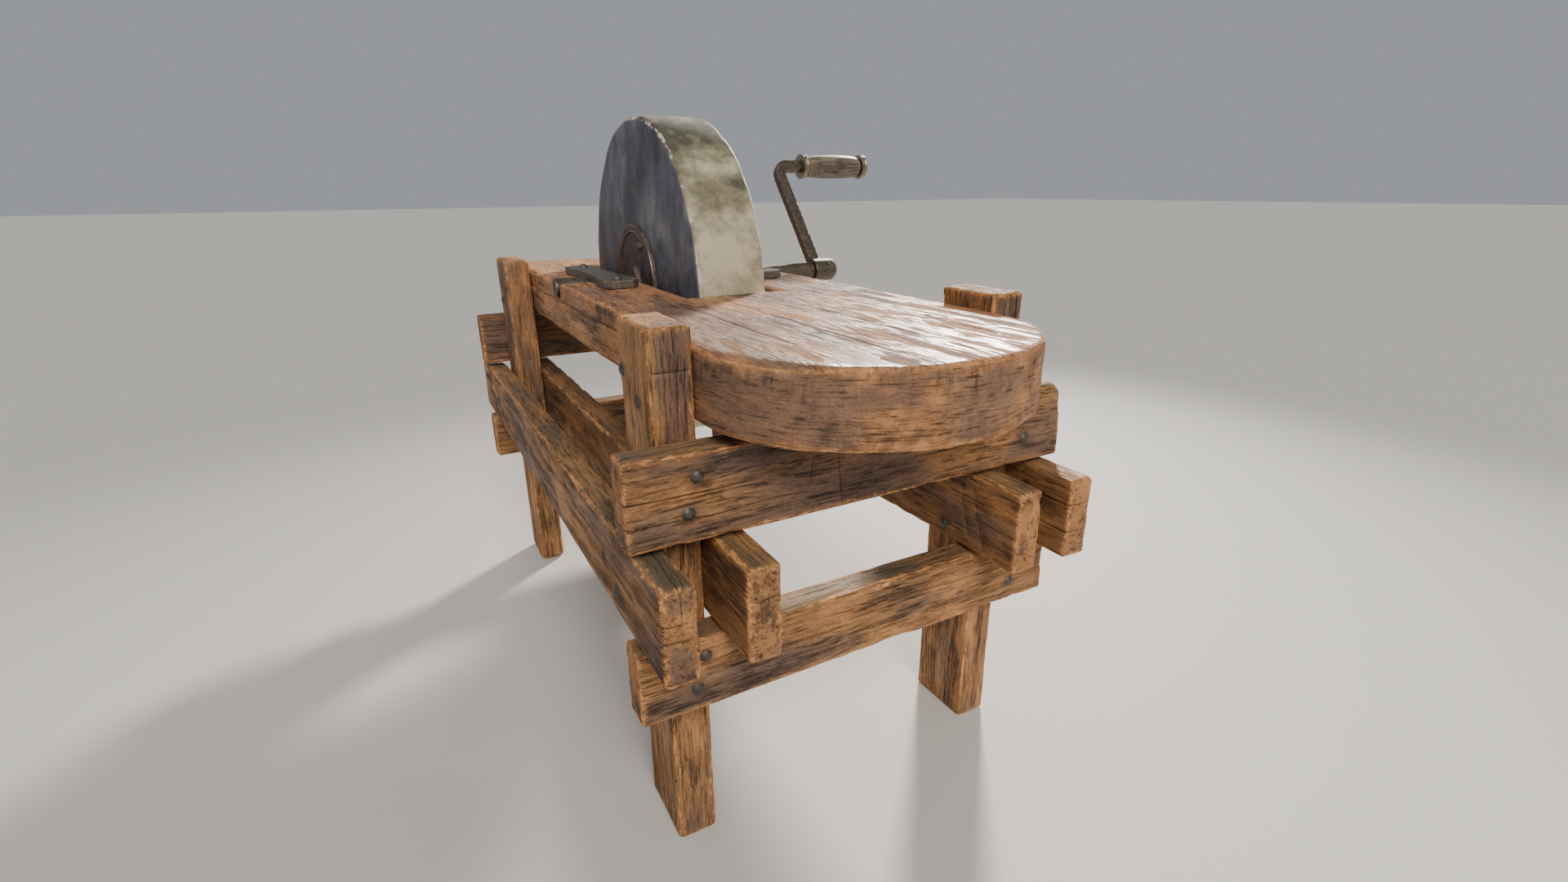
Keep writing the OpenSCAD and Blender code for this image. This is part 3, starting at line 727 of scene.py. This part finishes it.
    # The upright faces are rough all round, so their finish follows the way around the slab
    turn = np.arcsin(np.clip(z / half[Z], -1, 1))
    along = np.where(x < bow_from, 2 / pi * FRONT_QUARTER * turn, np.sign(z) * (FRONT_QUARTER + x - bow_from))
    along = np.where(x > half[X] - 1 * MM, z, along)
    values["around"] = np.stack([along, y, 0 * z], 1)
    values["end"] = 1 - normals[:, Y] ** 2
    points = (points - normals * depth[:, None])[:, [Z, X, Y]] + centre
    add_piece("worn_bench_top", points, faces, top_wood, "frame", ["bench_top"], "bench_top_wood", **values)


bench_top()


# ---------------------------------------------------------------------------
# Turned and forged parts
# ---------------------------------------------------------------------------


def soften(profile, radius, steps=4):
    """The profile with each inner corner replaced by a short curve."""
    points = [np.array(p, float) for p in profile]
    soft = [points[0]]
    for before, here, after in zip(points, points[1:], points[2:]):
        to_before, to_after = before - here, after - here
        reach = min(radius, np.hypot(*to_before) * 0.45, np.hypot(*to_after) * 0.45)
        start = here + to_before / np.hypot(*to_before) * reach
        end = here + to_after / np.hypot(*to_after) * reach
        for t in np.linspace(0, 1, steps + 1):
            soft.append((1 - t) ** 2 * start + 2 * t * (1 - t) * here + t**2 * end)
    return np.array(soft + [points[-1]])


def refine(profile, step):
    """The profile with points no more than a step apart."""
    fine = [profile[0]]
    for start, end in zip(profile, profile[1:]):
        count = max(1, ceil(np.hypot(*(end - start)) / step))
        fine += [start + (end - start) * i / count for i in range(1, count + 1)]
    return np.array(fine)


def turned(profile, axis_y, axis_z, segments, closed=False):
    """A profile of (x, radius) pairs turned about a line along X, with the direction its surface faces."""
    xs, rs = profile.T
    turn = np.arange(segments) * 2 * pi / segments
    count = len(profile)
    points = np.stack([
        np.repeat(xs[:, None], segments, 1),
        axis_y + rs[:, None] * np.cos(turn),
        axis_z + rs[:, None] * np.sin(turn),
    ], 2).reshape(-1, 3)
    slope = np.gradient(profile, axis=0)
    if closed:
        slope = (np.roll(profile, -1, 0) - np.roll(profile, 1, 0)) / 2
    slope /= np.maximum(np.hypot(*slope.T), 1e-9)[:, None]
    normals = np.stack([
        np.repeat(-slope[:, 1:], segments, 1),
        slope[:, :1] * np.cos(turn),
        slope[:, :1] * np.sin(turn),
    ], 2).reshape(-1, 3)
    rows = np.arange(count if closed else count - 1)
    i, j = np.meshgrid(rows, np.arange(segments), indexing="ij")
    after, beside = (i + 1) % count, (j + 1) % segments
    corners = ((i, j), (i, beside), (after, beside), (after, j))
    faces = np.stack([row * segments + column for row, column in corners], 2)
    return points, normals, faces.reshape(-1, 4)


def capped(faces, count, segments):
    """The turned faces, with a small flat face over each open end."""
    first = list(range(segments))[::-1]
    last = list(range((count - 1) * segments, count * segments))
    return faces.tolist() + [first, last]


def grindstone():
    """The stone: a true disc whose edges have chipped and whose rim has worn a little uneven."""
    segments = 420
    eye, width = 26 * MM, STONE_HALF
    shoulder, crown = STONE_R - 9 * MM, width - 7 * MM
    profile = np.array([
        (-width, eye), (-width, shoulder), (-crown, STONE_R),
        (crown, STONE_R), (width, shoulder), (width, eye),
    ])
    profile = refine(soften(profile, 6 * MM), 6.5 * MM) + np.array([AXIS[X], 0])
    bore = np.array([(AXIS[X] + width * t, eye) for t in np.linspace(1, -1, 9)[1:-1]])
    profile = np.concatenate([profile, bore])
    points, normals, faces = turned(profile, AXIS[Y], AXIS[Z], segments, closed=True)
    radius = np.hypot(points[:, Y] - AXIS[Y], points[:, Z] - AXIS[Z])
    below, within = STONE_R - radius, width - np.abs(points[:, X] - AXIS[X])
    off_edge = np.hypot(np.maximum(below, 0), np.maximum(within, 0))
    outer = ramp(radius, 0.5 * STONE_R, 0.8 * STONE_R)
    depth = 3.0 * MM * noise(points, 0.10, 41, 3) * outer + 0.5 * MM * noise(points, 0.02, 42, 2)
    bites = ramp(noise(points, (0.02, 0.017, 0.017), 43, 3), 0.48, 0.68)
    at_edge = ramp(-off_edge, -11 * MM, -3 * MM)
    depth += 4.5 * MM * bites * at_edge
    depth += 3.0 * MM * noise(points, 0.055, 44, 2) * ramp(-off_edge, -45 * MM, -3 * MM)
    points = points - normals * depth[:, None]
    rim = ramp(radius, STONE_R - 12 * MM, STONE_R - 3 * MM)
    chip = np.clip(ramp(-off_edge, -13 * MM, -5 * MM) * (0.55 + 0.5 * bites), 0, 1)
    add_piece(
        "chipped_stone", points, faces, stone_finish, "rotor", ["stone"], "grit_stone", rim=rim, chip=chip
    )


grindstone()


def turned_part(name, node, profile, material, slot, body="rotor", segments=72, round_by=1.5 * MM,
                step=3 * MM, rough=0.35 * MM, lumps=0.5 * MM, centre=None, closed=False, corners=None):
    """A turned part about a line along X, slightly uneven and rubbed at its edges."""
    low, high = box_of(node)
    middle = (low + high) / 2 if centre is None else centre
    shape = soften(profile, round_by)
    if closed:
        shape = soften(np.concatenate([profile, profile[:2]]), round_by)[1:-1]
    ring = refine(np.array(shape), step)
    if closed and np.allclose(ring[0], ring[-1]):
        ring = ring[:-1]
    points, normals, faces = turned(ring, middle[Y], middle[Z], segments, closed)
    depth = lumps * noise(points, 0.022, 51, 2) + rough * noise(points, 5 * MM, 52, 2)
    points = points - normals * depth[:, None]
    corners = np.array(profile if corners is None else corners)
    gap = np.sqrt(((ring[:, None] - corners[None]) ** 2).sum(2)).min(1)
    wear = np.repeat(ramp(-gap, -5 * MM, -0.5 * MM), segments)
    faces = faces if closed else capped(faces, len(ring), segments)
    grain = points - middle
    end = normals[:, X] ** 2
    zero = np.zeros(len(points))
    add_piece(name, points, faces, material, body, [node], slot,
              wear=wear, grain=grain, around=grain, end=end, split=zero, stain=zero)


# The shaft's own sizes, as in part.scad: its bearing journals, its tang in the crank and the thread's end
SHAFT_R, JOURNAL_R, TANG_R, THREAD_R = 17 * MM, 14 * MM, 13 * MM, 9 * MM
JOURNAL_IN, JOURNAL_OUT = 109 * MM, 173 * MM
TANG_FROM, TANG_LONG = AXIS[X] + 325 * MM, 48 * MM
CAP_R = 0.1 * MM  # the small flat face that closes each end


def flange(node, side):
    """A rusty clamping plate with a raised rim band and a boss around the shaft."""
    low, high = box_of(node)
    inner, outer = (high[X], low[X]) if side < 0 else (low[X], high[X])
    radius = (high - low)[Z] / 2
    band_r, web_r, boss_r, bore = radius - 14 * MM, radius - 15.5 * MM, 30 * MM, SHAFT_R + 0.2 * MM
    band_x, web_x = (inner + share * (outer - inner) for share in (0.6, 0.4))
    profile = [
        (inner, bore), (inner, radius), (band_x, radius), (band_x, band_r),
        (web_x, web_r), (web_x, boss_r + 2 * MM), (outer, boss_r), (outer, bore),
    ]
    if side > 0:
        profile.reverse()
    rim = [(band_x, radius), (band_x, band_r)]
    turned_part("rusty_" + node, node, profile[::-1], flange_iron, "rusty_iron", segments=120, closed=True,
                step=4 * MM, lumps=0.8 * MM, corners=rim)


flange("flange_left", -1)
flange("flange_right", 1)

stations = [
    (shaft_low[X], CAP_R, SHAFT_R),
    (AXIS[X] - JOURNAL_OUT, SHAFT_R, JOURNAL_R),
    (AXIS[X] - JOURNAL_IN, JOURNAL_R, SHAFT_R),
    (AXIS[X] + JOURNAL_IN, SHAFT_R, JOURNAL_R),
    (AXIS[X] + JOURNAL_OUT, JOURNAL_R, SHAFT_R),
    (TANG_FROM, SHAFT_R, TANG_R),
    (TANG_FROM + TANG_LONG, TANG_R, THREAD_R),
    (shaft_high[X], THREAD_R, CAP_R),
]
turned_part(
    "worn_shaft", "shaft", [(x, radius) for x, before, after in stations for radius in (before, after)],
    shaft_finish, "shaft_steel", centre=AXIS, segments=64, step=4 * MM, lumps=0.7 * MM,
)


def handle_parts():
    """The two iron collars and the turned wooden grip between them."""
    spindle_r = 9 * MM
    for name, node in (("worn_collar", "grip_collar"), ("worn_end_cap", "grip_end_cap")):
        low, high = box_of(node)
        radius, bore, waist = (high - low)[Z] / 2, spindle_r + 0.1 * MM, 2.2 * MM
        side = [(0, bore), (0, radius - 4 * MM), (2 * MM, radius), (4 * MM, radius)]
        profile = [(low[X] + inward, r) for inward, r in side]
        profile.append(((low[X] + high[X]) / 2, radius - waist))
        profile += [(high[X] - inward, r) for inward, r in reversed(side)]
        turned_part(name, node, profile, crank_finish, "crank_iron", closed=True,
                    step=2 * MM, round_by=1.2 * MM)
    low, high = box_of("grip")
    half, middle, radius = (high - low)[X] / 2, (low + high)[X] / 2, (high - low)[Z] / 2
    bore, end_r, swell_share = spindle_r + 0.3 * MM, 22 * MM, 0.93
    swell = [
        (middle + half * t, end_r + (radius - end_r) * (1 - t * t) ** 0.8)
        for t in np.linspace(-swell_share, swell_share, 15)
    ]
    neck = [(0, bore), (0, end_r - 3 * MM), (3 * MM, end_r - 1 * MM), (4.2 * MM, end_r - 2.2 * MM)]
    start = [(low[X] + inward, r) for inward, r in neck]
    finish = [(high[X] - inward, r) for inward, r in reversed(neck)]
    turned_part("turned_grip", "grip", start + swell + finish, grip_finish, "grip_wood", "grip", segments=80,
                closed=True, rough=0.2 * MM, lumps=0.7 * MM, corners=[swell[0], swell[-1]])


handle_parts()


def remeshed(node, voxel, smoothing):
    """A CAD node's own shape as an even mesh with softened edges, and how much each point stands out."""
    copy = bpy.data.objects.new("copy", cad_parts[node].data.copy())
    bpy.context.scene.collection.objects.link(copy)
    remesh = copy.modifiers.new("even", "REMESH")
    remesh.mode = "VOXEL"
    remesh.voxel_size = voxel
    graph = bpy.context.evaluated_depsgraph_get()
    sharp = bpy.data.meshes.new_from_object(copy.evaluated_get(graph), depsgraph=graph)
    smooth = copy.modifiers.new("soft", "SMOOTH")
    smooth.iterations = smoothing
    smooth.factor = 0.5
    graph = bpy.context.evaluated_depsgraph_get()
    soft = bpy.data.meshes.new_from_object(copy.evaluated_get(graph), depsgraph=graph)
    bpy.data.objects.remove(copy)
    before = np.array([v.co for v in sharp.vertices])
    after = np.array([v.co for v in soft.vertices])
    normals = np.array([v.normal for v in soft.vertices])
    faces = [list(p.vertices) for p in soft.polygons]
    stands_out = ((before - after) * normals).sum(1)
    return after, normals, faces, stands_out


def forged(name, node, material, slot, voxel, smoothing, depth, body="rotor"):
    """A forged part in its CAD shape, with hammered faces and rubbed edges."""
    points, normals, faces, stands = remeshed(node, voxel, smoothing)
    worn = depth * noise(points, 0.02, 61, 2) + 0.4 * depth * noise(points, 6 * MM, 62, 2)
    wear = ramp(stands, 0.15 * voxel, 0.6 * voxel)
    add_piece(name, points - normals * worn[:, None], faces, material, body, [node], slot, wear=wear)


forged("forged_crank", "crank_arm", crank_finish, "crank_iron", 2.0 * MM, 6, 0.7 * MM)
for side in ("left", "right"):
    node = "bearing_strap_" + side
    forged("forged_strap_" + side, node, strap_iron, "forged_iron", 1.0 * MM, 1, 0.5 * MM, "frame")


# ---------------------------------------------------------------------------
# CAD nodes that keep their shape
# ---------------------------------------------------------------------------

FASTENERS = (
    "strap_bolts", "strap_washers", "strap_nuts", "clamp_bolts", "clamp_nuts",
    "crank_nut", "crank_pin", "flange_pins",
)
for finish, nodes in (
    (nail_finish, NAIL_NODES),
    (fastener_finish, FASTENERS),
    (saddle_finish, ("bearing_saddle_left", "bearing_saddle_right")),
    (packing_finish, ("stone_packing",)),
):
    for node in nodes:
        dress(node, finish)


# ---------------------------------------------------------------------------
# Floor, lights and camera
# ---------------------------------------------------------------------------

FLOOR_REACH = 40.0
SKY_COLOUR, SKY_STRENGTH = (0.78, 0.81, 0.87, 1), 0.42
SUN_COLOUR, SUN_STRENGTH, SUN_SOFTNESS = (1.0, 0.92, 0.81), 2.6, radians(28)
SUN_HEADING = Vector((0.18, 0.85, -0.75))

floor_mesh = bpy.data.meshes.new("floor")
corners = [(x * FLOOR_REACH, y * FLOOR_REACH, 0) for x, y in ((-1, -1), (1, -1), (1, 1), (-1, 1))]
floor_mesh.from_pydata(corners, [], [(0, 1, 2, 3)])
floor = bpy.data.objects.new("floor", floor_mesh)
bpy.context.scene.collection.objects.link(floor)
floor_finish = Finish("pale_floor", Base_Color=(0.60, 0.59, 0.57, 1), Roughness=0.85)
floor_mesh.materials.append(floor_finish.material)

world = bpy.data.worlds.new("studio")
bpy.context.scene.world = world
world.use_nodes = True
sky = world.node_tree.nodes["Background"].inputs
sky["Color"].default_value = SKY_COLOUR
sky["Strength"].default_value = SKY_STRENGTH


def add_light(name, kind, place, heading, energy, colour):
    """A light at a place, shining along a heading."""
    light = bpy.data.lights.new(name, kind)
    light.energy = energy
    light.color = colour
    obj = bpy.data.objects.new(name, light)
    obj.location = place
    obj.rotation_euler = heading.to_track_quat("-Z", "Y").to_euler()
    bpy.context.scene.collection.objects.link(obj)
    return light


key = add_light("key", "SUN", (0, 0, 0), SUN_HEADING, SUN_STRENGTH, SUN_COLOUR)
key.angle = SUN_SOFTNESS

RIM_PLACE, RIM_TARGET = Vector((3.2, 3.0, 2.6)), Vector((0.05, -0.45, 0.676))
rim_light = add_light("rim", "AREA", RIM_PLACE, RIM_TARGET - RIM_PLACE, 78, (1.0, 0.94, 0.86))
rim_light.shape = "DISK"
rim_light.size = 0.7
rim_light.spread = radians(60)

# The camera, at the photograph's place and viewing angle
EYE = Vector((-0.6379, -1.1912, 0.8368))
YAW, PITCH, ROLL = radians(-28.869), radians(-19.279), radians(-0.435)
LENS, SENSOR = 16.60, 36
ahead = Vector((-sin(YAW) * cos(PITCH), cos(YAW) * cos(PITCH), sin(PITCH)))
level = Vector((cos(YAW), sin(YAW), 0))
over = level.cross(ahead)
right = level * cos(ROLL) + over * sin(ROLL)
up = over * cos(ROLL) - level * sin(ROLL)
camera = bpy.data.objects.new("camera", bpy.data.cameras.new("camera"))
camera.data.lens = LENS
camera.data.sensor_width = SENSOR
camera.matrix_world = Matrix.Translation(EYE) @ Matrix((right, up, -ahead)).transposed().to_4x4()
bpy.context.scene.collection.objects.link(camera)
bpy.context.scene.camera = camera
